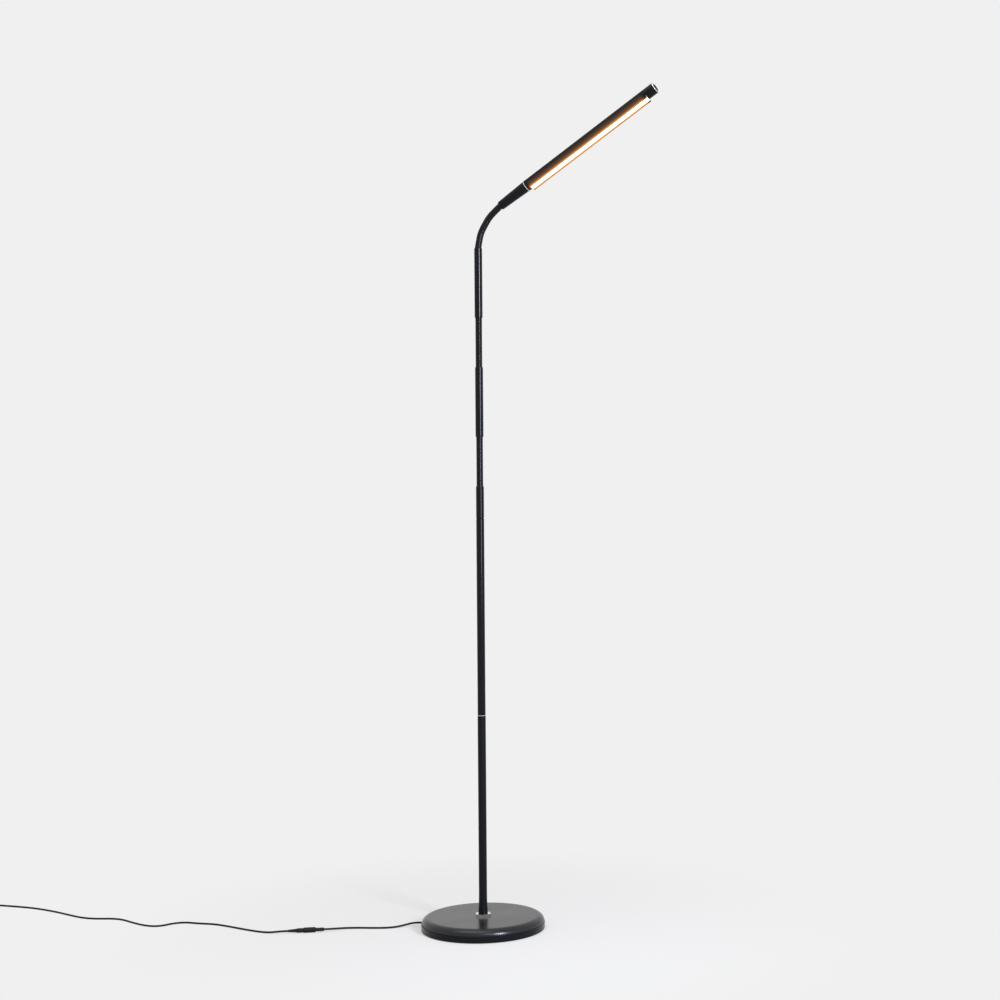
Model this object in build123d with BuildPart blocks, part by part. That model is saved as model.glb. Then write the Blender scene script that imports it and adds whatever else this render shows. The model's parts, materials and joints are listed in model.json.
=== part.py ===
from build123d import *
import os
from math import acos, atan, cos, degrees, dist, pi, radians, sin, sqrt, tan

# Gooseneck reading floor lamp, in millimetres.
# Z is up, X is to the right and Y away from the viewer; the origin is on the floor under the pole.

# ---- base ----
base_radius = 110.0
base_height = 23.5
shoulder_width = 13.6
flat_radius = base_radius - shoulder_width  # flat middle of the cover
rim_height = 11.8  # top of the tray's rim, where the parting groove runs
parting_gap = 0.5
cover_inset = 1.0  # the cover is this much narrower than the tray
cover_wall = 1.6
cover_skirt_depth = 2.0
tray_wall = 2.0
tray_floor = 1.5
pad_thickness = 2.0
pad_inset = 5.0
pad_radius = base_radius - pad_inset
rim_clearance = 0.8  # under the tray's rim
weight_inset = 12.0
weight_radius = base_radius - weight_inset
weight_thickness = 10.5
weight_chamfer = 1.5
boss_radius = 22.0  # in the weight's middle, up to the cover
boss_gap = 0.1
channel_width = 7.0
tray_screw_circle = 70.0
tray_screw_radius = 2.0
tray_screw_head = 3.6
tray_screw_length = 9.0
tray_screws = 3

# ---- clamp at the middle of the base ----
stud_radius = 6.0
stud_bore = 4.0
stud_engagement = 22.0  # how far the stud goes up into the pole
stud_clearance = 0.3
thread_clearance = 0.05
under_nut_flats = 19.0
under_nut_height = 5.0
washer_radius = 14.0
washer_thickness = 1.5
pocket_radius = 17.0
under_nut_floor_gap = 6.5  # from the tray's floor up to the nut
pole_nut_flats = 26.0
pole_nut_height = 3.8
pole_nut_turn = 9.5
pole_nut_bevel = 1.0

# ---- poles ----
foot_radius = 8.5
foot_taper = 36.0
lower_pole_radius = 7.3
upper_pole_radius = 7.1
lower_pole_length = 352.7
upper_pole_length = 351.0
pole_bore = 6.1
pole_edge = 0.4
coupler_flange = 0.8
coupler_reach = 16.0
coupler_bore = 4.0
seam_groove_depth = 0.5

# ---- tubes between the necks ----
tube_radius = 7.1
tube_edge = 1.2
tube_bore = 5.6
neck_base_length = 56.8
tube_length = 124.6

# ---- ribbed necks: hollow links, each with a ball on top and a socket below ----
rib_pitch = 3.58
rib_radius = 6.2
groove_radius = 5.4
rib_root = 1.5
rib_tip = 1.0
ball_radius = 4.6
socket_clearance = 0.25
neck_bore = 2.2
ball_mouth = 3.2  # the ball's bore widens to this at its top
fitting_length = 14.0
fitting_clearance = 0.05
straight_neck_ribs = (5, 5, 4, 5, 5)  # ribs on each link of the lower and of the middle neck
curved_neck_ribs = (3, 3, 3, 3, 3, 3, 3, 3)
curved_neck_hinges = ("bend", "swing", "bend") * 3  # what each joint of the upper neck does
neck_tilt = 57.9  # from upright, at the head
neck_heading = -20.0  # the head points right, and this far towards the viewer
neck_ease = 0.57  # curvature at the top of the upper neck, as a share of that at its foot

# ---- head ----
head_turn = -7.0  # the slot is turned this far from straight down, towards the viewer
head_radius = 9.9
slot_depth = 11.0  # from the head's centre line to the lower edges of its walls
head_wall = 1.6
ferrule_length = 59.5
ferrule_small_radius = 8.05
ferrule_large_radius = 9.85
ferrule_wall = 1.6
ferrule_edge = 1.0
ring_thickness = 1.2
ring_proud = 0.1
ring_bore = 6.5
tongue_bore = 4.5
tongue_length = 6.0
fit_clearance = 0.05
channel_length = 266.3
collar_length = 6.0  # round part of the shell, before its walls begin
shelf_top = 0.6  # below the head's centre line
shelf_thickness = 1.4
board_thickness = 1.2
board_width = 14.0
board_margin = 4.0
chip_length = 3.5
chip_width = 2.8
chip_height = 0.8
chips = 36
diffuser_recess = 2.6
diffuser_thickness = 2.0
diffuser_groove = 0.8
groove_clearance = 0.1
cap_length = 19.0
cap_bore = 8.2
cap_floor = 4.0
bezel_thickness = 1.6
bezel_radius = 9.3
bezel_edge = 0.5
bezel_sleeve = 4.0
button_radius = 6.8
button_clearance = 0.25
button_proud = 0.8
button_thickness = 4.2
button_edge = 0.6
plunger_radius = 1.8
plunger_length = 4.5
plunger_hole = 2.0
plunger_hole_depth = 3.5
switch_length = 10.5

# ---- wiring ----
lead_radius = 1.4
lead_height = 6.8  # of the lead inside the base, above the floor
lead_bend = 6.0  # radius of its turn up into the stud
lead_offset = 2.8  # above the head's centre line, in the channel over the shelf
lead_hole = 1.6
cord_radius = 1.75
cord_heading = 171.0  # where the cord leaves the base, seen from above
grommet_radius = 2.7
grommet_flange = 3.2
grommet_proud = 3.0
grommet_reach = 4.0

# ---- plug and socket on the cord ----
socket_start = (-280.8, -16.2)
plug_end = (-342.8, -27.2)
socket_relief_length = 15.0
socket_relief_radius = 3.5
socket_body_length = 21.0
socket_radius = 4.7
plug_body_length = 12.0
plug_radius = 3.95
relief_ridges = 4
barrel_radius = 2.75
barrel_bore = 1.25
barrel_length = 9.0
contact_radius = 1.05
jack_clearance = 0.1

# ---- coil of the length that is put away, and the wall adapter ----
coil_centre = (-975.0, 172.0)
coil_inner_radius = 13.3
coil_turns = 6  # three in, and three out on top of them
coil_spacing = 4.0
coil_lift = 1.25
tie_width = 5.0
tie_thickness = 0.8
tie_slack = 0.4
adapter_centre = (-980.0, 45.0)
adapter_outlet = 7.5  # height of the cord's outlet above the floor
adapter_length = 62.0
adapter_width = 44.0
adapter_height = 28.0
adapter_edge = 4.0
adapter_relief_length = 12.0
adapter_relief_radius = 3.4
pin_spacing = 12.7
pin_width = 6.4
pin_thickness = 1.5
pin_length = 17.0

# The cord leaves the base, the socket and the plug in line with them.
grommet_end = base_radius + grommet_proud
cord_outwards = (cos(radians(cord_heading)), sin(radians(cord_heading)))
joint_size = dist(socket_start, plug_end)
joint_outwards = [(b - a) / joint_size for a, b in zip(socket_start, plug_end)]
first_run = 12.5
socket_run = 15.0
plug_run = 13.5
coil_run = 12.5
coil_low = cord_radius + coil_lift
coil_high = coil_low + coil_spacing
coil_quarters = 4 * coil_turns
coil_outer_radius = coil_inner_radius + coil_spacing * coil_turns / 2
coil_left = coil_centre[0] - coil_outer_radius
coil_slant = coil_spacing / (2 * pi) / coil_outer_radius  # inwards, of the cord as it joins
coil_start = (coil_left - 2 * cord_radius * coil_slant, coil_centre[1] + 2 * cord_radius, coil_low)
coil_end = (coil_left - 2 * cord_radius * coil_slant, coil_centre[1] - 2 * cord_radius, coil_high)
adapter_relief_end = adapter_centre[1] + adapter_length / 2 + adapter_relief_length
cord_exit = (grommet_end * cord_outwards[0], grommet_end * cord_outwards[1], lead_height)

# Points that the cord's free stretches turn at, chosen by hand along the floor.
base_cord_route = [
    cord_exit,
    (
        cord_exit[0] + first_run * cord_outwards[0],
        cord_exit[1] + first_run * cord_outwards[1],
        lead_height,
    ),
    (-138.0, 17.0, 4.4),
    (-152.0, 9.0, 2.3),
    (-170.0, 2.6, 1.75),
    (-196.0, 2.0, 1.75),
    (-222.0, 4.4, 1.75),
    (-246.0, 3.0, 2.0),
    (
        socket_start[0] - socket_run * joint_outwards[0],
        socket_start[1] - socket_run * joint_outwards[1],
        socket_radius,
    ),
    (*socket_start, socket_radius),
]
supply_cord_route = [
    (*plug_end, socket_radius),
    (
        plug_end[0] + plug_run * joint_outwards[0],
        plug_end[1] + plug_run * joint_outwards[1],
        socket_radius,
    ),
    (-376.0, -28.0, 2.4),
    (-398.0, -18.5, 1.75),
    (-433.0, 3.0, 1.75),
    (-463.0, 23.5, 1.75),
    (-491.0, 39.5, 1.75),
    (-520.0, 44.5, 1.75),
    (-547.0, 54.5, 1.75),
    (-567.0, 46.5, 1.75),
    (-580.0, 31.5, 1.75),
    (-594.5, 25.5, 1.75),
    (-616.0, 33.5, 1.75),
    (-642.0, 54.0, 1.75),
    (-666.0, 77.0, 1.75),
    (-689.0, 87.0, 1.75),
    (-719.0, 85.5, 1.75),
    (-747.0, 94.0, 1.75),
    (-775.0, 114.0, 1.75),
    (-816.0, 145.5, 1.75),
    (-866.0, 175.0, 1.75),
    (-912.0, 190.5, 1.75),
    (-946.0, 200.0, 1.8),
    (-974.0, 207.5, 2.4),
    (-991.5, 203.0, 2.8),
    (coil_start[0] - coil_run * coil_slant, coil_start[1] + coil_run, coil_low),
    coil_start,
]
adapter_cord_route = [
    coil_end,
    (coil_end[0] - coil_run * coil_slant, coil_end[1] - coil_run, coil_high),
    (-998.5, 142.0, 3.6),
    (-991.0, 126.0, 1.9),
    (-984.0, 111.5, 4.2),
    (adapter_centre[0], 99.5, adapter_outlet),
    (adapter_centre[0], adapter_relief_end, adapter_outlet),
]

os.makedirs("parts", exist_ok=True)

rib_count = sum(straight_neck_ribs)
hinge_gap = (rib_pitch - rib_root) / 2  # from a hinge to the end face on either side of it
cup_radius = ball_radius + socket_clearance
neck_length = rib_count * rib_pitch
lower_pole_foot = base_height + pole_nut_height
lower_pole_top = lower_pole_foot + lower_pole_length
upper_pole_foot = lower_pole_top + coupler_flange
upper_pole_top = upper_pole_foot + upper_pole_length
neck_base_foot = upper_pole_top + coupler_flange
lower_neck_foot = neck_base_foot + neck_base_length + hinge_gap
middle_tube_foot = lower_neck_foot + neck_length + hinge_gap
middle_neck_foot = middle_tube_foot + tube_length + hinge_gap
upper_tube_foot = middle_neck_foot + neck_length + hinge_gap
upper_neck_foot = upper_tube_foot + tube_length + hinge_gap
tray_bottom = pad_thickness
tray_top = tray_bottom + tray_floor
stud_foot = tray_top + under_nut_floor_gap - 0.4
under_nut_foot = tray_top + under_nut_floor_gap


def upright(height):
    """The level plane at a height, with the pole's axis through its origin."""
    return Plane.XY.offset(height)


def turned(place, tilt=0, twist=0):
    """The plane turned about its own Y axis and then about its own Z axis, in degrees."""
    return Plane(place.location * Rotation(0, tilt, twist))


def lengthwise(place):
    """The plane through a round piece's axis: its X is the radius, and its Y runs along the axis."""
    return Plane(origin=place.origin, x_dir=place.x_dir, z_dir=-place.y_dir)


def on_sphere(radius, across):
    """How far along the axis a sphere's surface lies at a distance from the axis."""
    return sqrt(radius**2 - across**2)


def midway(radius, start, end, centre):
    """The point of an arc about (0, centre) halfway between two of its points."""
    x = start[0] + end[0]
    y = start[1] + end[1] - 2 * centre
    size = sqrt(x**2 + y**2)
    return (radius * x / size, centre + radius * y / size)


def bend_radii(points):
    """The largest arc that each corner's two runs allow: 0.45 of the shorter run over the tangent."""
    radii = []
    for before, corner, after in zip(points, points[1:], points[2:]):
        arriving = Vector(*corner) - Vector(*before)
        leaving = Vector(*after) - Vector(*corner)
        half_turn = radians(arriving.get_angle(leaving)) / 2
        radii.append(0.45 * min(arriving.length, leaving.length) / tan(half_turn))
    return radii


def biarc(start, start_direction, end, end_direction):
    """The point where two tangent arcs from one end to the other meet."""
    chord = end - start
    both = start_direction + end_direction
    spread = 2 * (1 - start_direction.dot(end_direction))
    along = chord.dot(both)
    reach = (sqrt(along**2 + spread * chord.dot(chord)) - along) / spread
    return (start + end + (start_direction - end_direction) * reach) / 2


def tube(path, radius):
    """A round section swept along the path."""
    with BuildPart() as swept:
        with BuildSketch(Plane(origin=path @ 0, z_dir=path % 0)):
            Circle(radius)
        sweep(path=path)
    return swept.part


def cord_tube(points, radius):
    """A cord's tube along its route, with the largest arcs that the route's runs allow."""
    radii = bend_radii(points)
    with BuildLine() as course:
        FilletPolyline(*points, radius=radii)
    print("bend radii", [round(bend, 1) for bend in radii])
    return tube(course.wire(), radius)


# ---- places of the upper neck's joints and of the head ----
curved_link_length = curved_neck_ribs[0] * rib_pitch
bends_per_third = 2
third_weights = [1 - (1 - neck_ease) * (2 * third + 1) / 6 for third in range(3)]
kinks = []
for joint, action in enumerate(curved_neck_hinges):
    share = third_weights[joint // 3] / sum(third_weights) / bends_per_third
    kinks.append(neck_tilt * share if action == "bend" else 0.0)

joint_place = Plane(
    origin=(0, 0, upper_neck_foot),
    x_dir=(cos(radians(neck_heading)), sin(radians(neck_heading)), 0),
    z_dir=(0, 0, 1),
)
curved_places = []
for kink in kinks:
    joint_place = turned(joint_place, tilt=kink)
    curved_places.append(joint_place)
    joint_place = joint_place.offset(curved_link_length)
head_hinge = curved_places[-1]
head_place = turned(head_hinge.offset(hinge_gap), twist=head_turn)
ring_place = head_place.offset(ferrule_length)
shell_place = ring_place.offset(ring_thickness)
cap_place = shell_place.offset(channel_length)
bezel_place = cap_place.offset(cap_length)

# ---- base ----
cover_foot = rim_height + parting_gap
cover_radius = base_radius - cover_inset
cover_skirt = base_radius - tray_wall - 0.3

with BuildPart() as base_cover:
    with BuildSketch(Plane.XZ):
        with BuildLine():
            Line((stud_radius + stud_clearance, base_height), (flat_radius, base_height))
            EllipticalCenterArc(
                (flat_radius, cover_foot),
                cover_radius - flat_radius,
                base_height - cover_foot,
                arc_size=90,
            )
            Polyline(
                (cover_radius, cover_foot),
                (cover_skirt, cover_foot),
                (cover_skirt, cover_foot - cover_skirt_depth),
                (cover_skirt - cover_wall, cover_foot - cover_skirt_depth),
                (cover_skirt - cover_wall, cover_foot),
            )
            EllipticalCenterArc(
                (flat_radius - cover_wall, cover_foot),
                cover_skirt - flat_radius,
                base_height - cover_wall - cover_foot,
                arc_size=90,
            )
            Polyline(
                (flat_radius - cover_wall, base_height - cover_wall),
                (stud_radius + stud_clearance, base_height - cover_wall),
                (stud_radius + stud_clearance, base_height),
            )
        make_face()
    revolve(axis=Axis.Z)
base_cover.part.label = "base_cover"
export_step(base_cover.part, "parts/base_cover.step")

lead_out = Plane(
    origin=(0, 0, lead_height),
    x_dir=(0, 0, 1),
    z_dir=(cos(radians(cord_heading)), sin(radians(cord_heading)), 0),
)

with BuildPart() as base_tray:
    with BuildSketch(upright(rim_clearance)):
        Circle(base_radius)
    extrude(amount=rim_height - rim_clearance)
    fillet(base_tray.faces().sort_by(Axis.Z)[-1].edges(), radius=0.5)
    fillet(base_tray.faces().sort_by(Axis.Z)[0].edges(), radius=0.5)
    with BuildSketch(upright(tray_top)):
        Circle(base_radius - tray_wall)
    extrude(amount=rim_height, mode=Mode.SUBTRACT)
    with BuildSketch(upright(0)):
        Circle(pad_radius + 0.4)
    extrude(amount=tray_bottom, mode=Mode.SUBTRACT)
    with BuildSketch(lead_out):
        Circle(grommet_radius + 0.1)
    extrude(amount=base_radius + 5, mode=Mode.SUBTRACT)
    with BuildSketch(upright(tray_bottom)):
        with PolarLocations(tray_screw_circle, tray_screws):
            Circle(tray_screw_head + 0.2)
    extrude(amount=tray_floor, mode=Mode.SUBTRACT)
base_tray.part.label = "base_tray"
export_step(base_tray.part, "parts/base_tray.step")

with BuildPart() as foot_pad:
    with BuildSketch(upright(0)):
        Circle(pad_radius)
    extrude(amount=pad_thickness)
foot_pad.part.label = "foot_pad"
export_step(foot_pad.part, "parts/foot_pad.step")

boss_top = base_height - cover_wall - boss_gap
washer_top = under_nut_foot + under_nut_height + washer_thickness

with BuildPart() as base_weight:
    with BuildSketch(upright(tray_top)):
        Circle(weight_radius)
    extrude(amount=weight_thickness)
    chamfer(base_weight.faces().sort_by(Axis.Z)[-1].edges(), length=weight_chamfer)
    with BuildSketch(upright(tray_top)):
        Circle(boss_radius)
    extrude(amount=boss_top - tray_top)
    with BuildSketch(upright(tray_top)):
        Circle(stud_radius + stud_clearance)
    extrude(amount=boss_top, mode=Mode.SUBTRACT)
    with BuildSketch(upright(tray_top)):
        Circle(pocket_radius)
    extrude(amount=washer_top - tray_top, mode=Mode.SUBTRACT)
    with BuildSketch(lead_out):
        Rectangle(2 * (lead_height - tray_top), channel_width)
    extrude(amount=weight_radius + 1, mode=Mode.SUBTRACT)
    with BuildSketch(upright(tray_top)):
        with PolarLocations(tray_screw_circle, tray_screws):
            Circle(tray_screw_radius + 0.05)
    extrude(amount=tray_screw_length, mode=Mode.SUBTRACT)
base_weight.part.label = "base_weight"
export_step(base_weight.part, "parts/base_weight.step")

with BuildPart() as screws:
    with BuildSketch(upright(tray_bottom)):
        with PolarLocations(tray_screw_circle, tray_screws):
            Circle(tray_screw_head)
    extrude(amount=tray_floor)
    with BuildSketch(upright(tray_top)):
        with PolarLocations(tray_screw_circle, tray_screws):
            Circle(tray_screw_radius)
    extrude(amount=tray_screw_length - tray_floor)
screws.part.label = "tray_screws"
export_step(screws.part, "parts/tray_screws.step")

with BuildPart() as base_stud:
    with BuildSketch(upright(stud_foot)):
        Circle(stud_radius)
        Circle(stud_bore, mode=Mode.SUBTRACT)
    extrude(amount=lower_pole_foot + stud_engagement - stud_foot)
base_stud.part.label = "base_stud"
export_step(base_stud.part, "parts/base_stud.step")

with BuildPart() as under_nut:
    with BuildSketch(upright(under_nut_foot)):
        RegularPolygon(under_nut_flats / 2, 6, major_radius=False)
        Circle(stud_radius + thread_clearance, mode=Mode.SUBTRACT)
    extrude(amount=under_nut_height)
under_nut.part.label = "under_nut"
export_step(under_nut.part, "parts/under_nut.step")

with BuildPart() as stud_washer:
    with BuildSketch(upright(under_nut_foot + under_nut_height)):
        Circle(washer_radius)
        Circle(stud_radius + stud_clearance, mode=Mode.SUBTRACT)
    extrude(amount=washer_thickness)
stud_washer.part.label = "stud_washer"
export_step(stud_washer.part, "parts/stud_washer.step")

# The nut's corners are cut by a cone, top and bottom, as on any turned hexagon nut.
nut_corner = pole_nut_flats / 2 / cos(radians(30))

with BuildPart() as pole_nut:
    with BuildSketch(turned(upright(base_height), twist=pole_nut_turn)):
        RegularPolygon(pole_nut_flats / 2, 6, major_radius=False, rotation=30)
        Circle(stud_radius + thread_clearance, mode=Mode.SUBTRACT)
    extrude(amount=pole_nut_height)
    with BuildSketch(Plane.XZ):
        with BuildLine():
            Polyline(
                (0, base_height),
                (nut_corner - pole_nut_bevel, base_height),
                (nut_corner, base_height + 0.5 * pole_nut_bevel),
                (nut_corner, base_height + pole_nut_height - 0.5 * pole_nut_bevel),
                (nut_corner - pole_nut_bevel, base_height + pole_nut_height),
                (0, base_height + pole_nut_height),
                close=True,
            )
        make_face()
    revolve(axis=Axis.Z, mode=Mode.INTERSECT)
pole_nut.part.label = "pole_nut"
export_step(pole_nut.part, "parts/pole_nut.step")

grommet_inner = base_radius - tray_wall - grommet_reach

with BuildPart() as cord_grommet:
    with BuildSketch(lengthwise(lead_out)):
        with BuildLine():
            Polyline(
                (lead_radius + 0.1, grommet_inner),
                (grommet_flange, grommet_inner),
                (grommet_flange, base_radius - tray_wall - 0.2),
                (grommet_radius, base_radius - tray_wall - 0.2),
                (grommet_radius, base_radius + 0.6),
                (cord_radius + 0.5, grommet_end),
                (lead_radius + 0.1, grommet_end),
                close=True,
            )
        make_face()
    revolve(axis=Axis((0, 0, lead_height), lead_out.z_dir))
cord_grommet.part.label = "cord_grommet"
export_step(cord_grommet.part, "parts/cord_grommet.step")

# ---- poles ----
with BuildPart() as lower_pole:
    with BuildSketch(Plane.XZ):
        with BuildLine():
            Line((pole_bore, lower_pole_foot), (foot_radius, lower_pole_foot))
            TangentArc(
                (lower_pole_radius, lower_pole_foot + foot_taper),
                (foot_radius, lower_pole_foot),
                tangent=(0, -1),
            )
            Polyline(
                (lower_pole_radius, lower_pole_foot + foot_taper),
                (lower_pole_radius, lower_pole_top - pole_edge),
                (lower_pole_radius - pole_edge, lower_pole_top),
                (pole_bore, lower_pole_top),
                (pole_bore, lower_pole_foot),
            )
        make_face()
    revolve(axis=Axis.Z)
lower_pole.part.label = "lower_pole"
export_step(lower_pole.part, "parts/lower_pole.step")

with BuildPart() as upper_pole:
    with BuildSketch(Plane.XZ):
        with BuildLine():
            Polyline(
                (pole_bore, upper_pole_foot),
                (upper_pole_radius - pole_edge, upper_pole_foot),
                (upper_pole_radius, upper_pole_foot + pole_edge),
                (upper_pole_radius, upper_pole_top - pole_edge),
                (upper_pole_radius - pole_edge, upper_pole_top),
                (pole_bore, upper_pole_top),
                close=True,
            )
        make_face()
    revolve(axis=Axis.Z)
upper_pole.part.label = "upper_pole"
export_step(upper_pole.part, "parts/upper_pole.step")


def coupler(height, plug, flange_radius):
    """A hollow screwed coupler between two tubes, with its thin flange at a height."""
    with BuildPart() as joined:
        with BuildSketch(upright(height - coupler_reach)):
            Circle(plug)
        extrude(amount=2 * coupler_reach + coupler_flange)
        with BuildSketch(upright(height)):
            Circle(flange_radius)
        extrude(amount=coupler_flange)
        with BuildSketch(upright(height - coupler_reach)):
            Circle(coupler_bore)
        extrude(amount=2 * coupler_reach + coupler_flange, mode=Mode.SUBTRACT)
    return joined.part


pole_coupler = coupler(lower_pole_top, pole_bore - thread_clearance, upper_pole_radius)
pole_coupler.label = "pole_coupler"
export_step(pole_coupler, "parts/pole_coupler.step")

top_coupler = coupler(
    upper_pole_top,
    tube_bore - thread_clearance,
    upper_pole_radius - seam_groove_depth,
)
top_coupler.label = "top_coupler"
export_step(top_coupler, "parts/top_coupler.step")

# ---- tubes between the necks ----


def plain_tube(foot, length):
    """An upright tube with rounded ends, open for the wire and the necks' end fittings."""
    with BuildPart() as drawn:
        with BuildSketch(upright(foot)):
            Circle(tube_radius)
            Circle(tube_bore, mode=Mode.SUBTRACT)
        extrude(amount=length)
        rims = drawn.edges().filter_by(GeomType.CIRCLE).sort_by(SortBy.RADIUS)[-2:]
        fillet(rims, radius=tube_edge)
    return drawn.part


neck_base_tube = plain_tube(neck_base_foot, neck_base_length)
neck_base_tube.label = "neck_base_tube"
export_step(neck_base_tube, "parts/neck_base_tube.step")

middle_tube = plain_tube(middle_tube_foot, tube_length)
middle_tube.label = "middle_tube"
export_step(middle_tube, "parts/middle_tube.step")

upper_tube = plain_tube(upper_tube_foot, tube_length)
upper_tube.label = "upper_tube"
export_step(upper_tube, "parts/upper_tube.step")

# ---- ribbed necks ----
cup_mouth = on_sphere(cup_radius, hinge_gap)
cup_top = on_sphere(cup_radius, neck_bore)
ball_foot = on_sphere(ball_radius, hinge_gap)
ball_top = on_sphere(ball_radius, ball_mouth)


def cup_arc():
    """The hollow of the cup about a joint at the axis's origin, inside a BuildLine."""
    top = (neck_bore, cup_top)
    mouth = (cup_mouth, hinge_gap)
    ThreePointArc(top, midway(cup_radius, top, mouth, 0), mouth)


def ball_arc(joint):
    """The outside of the ball about a joint at a height on the axis, inside a BuildLine."""
    foot = (ball_foot, joint - hinge_gap)
    top = (ball_mouth, joint + ball_top)
    ThreePointArc(foot, midway(ball_radius, foot, top, joint), top)


def neck_link(place, ribs):
    """One hollow link: a cup at its foot, ribs outside, and the next joint's ball on top."""
    length = ribs * rib_pitch
    slope = (rib_root - rib_tip) / 2
    outline = [(cup_mouth, hinge_gap)]
    for rib in range(ribs):
        foot = hinge_gap + rib * rib_pitch
        outline += [
            (groove_radius, foot),
            (rib_radius, foot + slope),
            (rib_radius, foot + slope + rib_tip),
            (groove_radius, foot + rib_root),
        ]
    outline.append((ball_foot, length - hinge_gap))
    with BuildPart() as link:
        with BuildSketch(lengthwise(place)):
            with BuildLine():
                Polyline(*outline)
                ball_arc(length)
                Polyline(
                    (ball_mouth, length + ball_top),
                    (neck_bore, length),
                    (neck_bore, cup_top),
                )
                cup_arc()
            make_face()
        revolve(axis=Axis(place.origin, place.z_dir))
    return link.part


def ball_fitting(place):
    """The end piece inside a tube's top: its ball carries the neck above."""
    with BuildPart() as fitting:
        with BuildSketch(lengthwise(place)):
            with BuildLine():
                Polyline(
                    (neck_bore, 0),
                    (neck_bore, -fitting_length),
                    (tube_bore - fitting_clearance, -fitting_length),
                    (tube_bore - fitting_clearance, -hinge_gap),
                    (ball_foot, -hinge_gap),
                )
                ball_arc(0)
                Line((ball_mouth, ball_top), (neck_bore, 0))
            make_face()
        revolve(axis=Axis(place.origin, place.z_dir))
    return fitting.part


def cup_fitting(place):
    """The end piece inside a tube's foot: its cup sits on the neck below."""
    with BuildPart() as fitting:
        with BuildSketch(lengthwise(place)):
            with BuildLine():
                Polyline(
                    (cup_mouth, hinge_gap),
                    (tube_bore - fitting_clearance, hinge_gap),
                    (tube_bore - fitting_clearance, fitting_length),
                    (neck_bore, fitting_length),
                    (neck_bore, cup_top),
                )
                cup_arc()
            make_face()
        revolve(axis=Axis(place.origin, place.z_dir))
    return fitting.part


for neck, neck_foot in (("lower", lower_neck_foot), ("middle", middle_neck_foot)):
    link_foot = neck_foot
    for number, ribs in enumerate(straight_neck_ribs, start=1):
        piece = neck_link(upright(link_foot), ribs)
        piece.label = f"{neck}_neck_{number}"
        export_step(piece, f"parts/{neck}_neck_{number}.step")
        link_foot += ribs * rib_pitch

for number, ribs in enumerate(curved_neck_ribs, start=1):
    piece = neck_link(curved_places[number - 1], ribs)
    piece.label = f"upper_neck_{number}"
    export_step(piece, f"parts/upper_neck_{number}.step")

base_fitting = ball_fitting(upright(lower_neck_foot))
base_fitting.label = "neck_base_fitting"
export_step(base_fitting, "parts/neck_base_fitting.step")

middle_fittings = Compound(
    children=[
        cup_fitting(upright(lower_neck_foot + neck_length)),
        ball_fitting(upright(middle_neck_foot)),
    ]
)
middle_fittings.label = "middle_fittings"
export_step(middle_fittings, "parts/middle_fittings.step")

upper_fittings = Compound(
    children=[
        cup_fitting(upright(middle_neck_foot + neck_length)),
        ball_fitting(upright(upper_neck_foot)),
    ]
)
upper_fittings.label = "upper_fittings"
export_step(upper_fittings, "parts/upper_fittings.step")

head_fitting = cup_fitting(head_hinge)
head_fitting.label = "head_fitting"
export_step(head_fitting, "parts/head_fitting.step")

# ---- head ----
head_axis = Axis(head_place.origin, head_place.z_dir)
inner_radius = head_radius - head_wall
tongue_end = ferrule_length + ring_thickness + tongue_length - 0.3
ferrule_step = fitting_length + 1.0

with BuildPart() as ferrule:
    with BuildSketch(lengthwise(head_place)):
        with BuildLine():
            Polyline(
                (tube_bore, 0),
                (ferrule_small_radius - ferrule_edge, 0),
                (ferrule_small_radius, ferrule_edge),
                (ferrule_large_radius, ferrule_length),
                (ring_bore - fit_clearance, ferrule_length),
                (ring_bore - fit_clearance, tongue_end),
                (tongue_bore, tongue_end),
                (tongue_bore, ferrule_length - ferrule_wall),
                (ferrule_large_radius - ferrule_wall, ferrule_length - ferrule_wall),
                (tube_bore + 0.8, ferrule_step),
                (tube_bore, ferrule_step),
                close=True,
            )
        make_face()
    revolve(axis=head_axis)
ferrule.part.label = "head_ferrule"
export_step(ferrule.part, "parts/head_ferrule.step")

with BuildPart() as head_ring:
    with BuildSketch(ring_place):
        Circle(head_radius + ring_proud)
        Circle(ring_bore, mode=Mode.SUBTRACT)
    extrude(amount=ring_thickness)
head_ring.part.label = "head_ring"
export_step(head_ring.part, "parts/head_ring.step")

# In the planes across the head, X points down out of the slot and Y across it.
diffuser_bottom = slot_depth - diffuser_recess
groove_half_width = inner_radius + diffuser_groove
downward = (Align.MIN, Align.CENTER)

with BuildPart() as head_shell:
    with BuildSketch(shell_place):
        Circle(head_radius)
        Circle(ring_bore, mode=Mode.SUBTRACT)
    extrude(amount=collar_length)
    with BuildSketch(shell_place.offset(collar_length)):
        Circle(head_radius)
        Rectangle(slot_depth, 2 * head_radius, align=downward)
        Circle(inner_radius, mode=Mode.SUBTRACT)
        Rectangle(slot_depth, 2 * inner_radius, align=downward, mode=Mode.SUBTRACT)
        with Locations((shelf_top, 0)):
            Rectangle(shelf_thickness, 2 * (inner_radius + head_wall / 2), align=downward)
        with Locations((diffuser_bottom + groove_clearance, 0)):
            Rectangle(
                diffuser_thickness + 2 * groove_clearance,
                2 * groove_half_width,
                align=(Align.MAX, Align.CENTER),
                mode=Mode.SUBTRACT,
            )
    extrude(amount=channel_length - collar_length)
head_shell.part.label = "head_shell"
export_step(head_shell.part, "parts/head_shell.step")

board_top = shelf_top + shelf_thickness
board_start = collar_length + board_margin
board_length = channel_length - collar_length - 2 * board_margin

with BuildPart() as led_board:
    with BuildSketch(shell_place.offset(board_start)):
        with Locations((board_top, 0)):
            Rectangle(board_thickness, board_width, align=downward)
    extrude(amount=board_length)
led_board.part.label = "led_board"
export_step(led_board.part, "parts/led_board.step")

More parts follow.
